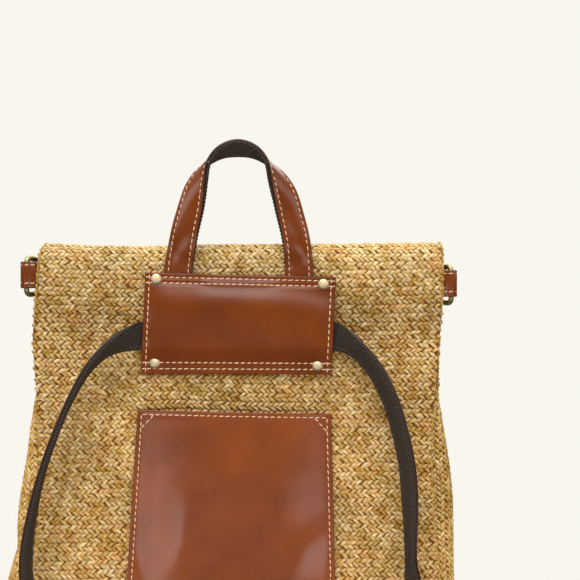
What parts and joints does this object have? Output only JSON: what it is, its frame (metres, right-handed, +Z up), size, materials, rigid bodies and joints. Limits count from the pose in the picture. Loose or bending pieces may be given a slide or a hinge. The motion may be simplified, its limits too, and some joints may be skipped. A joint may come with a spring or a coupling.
{
  "type": "woven straw backpack",
  "caption": "Woven straw backpack with a fold-over flap, leather back pocket and strap cover, a two-ply top handle, a two-ply shoulder strap and a D ring at each upper side edge.",
  "frame": {"origin": "on the underside of the base, on the middle line of the handle and half way between back and front", "axes": "+Z up, -Y out of the wearer's side (back panel), +X to the right seen from that side"},
  "size_m": [0.31, 0.1462, 0.3805],
  "materials": {
    "straw": "woven natural straw, matte",
    "leather": "smooth brown leather, soft sheen",
    "lining": "charcoal twill, matte",
    "metal": "pale antique brass"
  },
  "bodies": {
    "bag": {"woven_back_flap": "straw", "woven_front_sides": "straw", "back_pocket": "leather", "strap_cover": "leather", "rivet_top_left": "metal", "rivet_top_right": "metal", "rivet_low_left": "metal", "rivet_low_right": "metal", "handle_leather": "leather", "handle_lining": "lining", "strap_leather": "leather", "strap_lining": "lining", "side_tab_left": "leather", "side_tab_right": "leather"},
    "ring_left": {"side_ring_left": "metal"},
    "ring_right": {"side_ring_right": "metal"}
  },
  "joints": [
    {"name": "ring_left_swing", "type": "hinge", "parent": "bag", "child": "ring_left", "pos_m": [-0.1441, -0.0497, 0.2873], "axis": [0, 0, 1], "range_deg": [-25, 199]},
    {"name": "ring_right_swing", "type": "hinge", "parent": "bag", "child": "ring_right", "pos_m": [0.1452, -0.0497, 0.2815], "axis": [0, 0, -1], "range_deg": [-25, 199]}
  ]
}
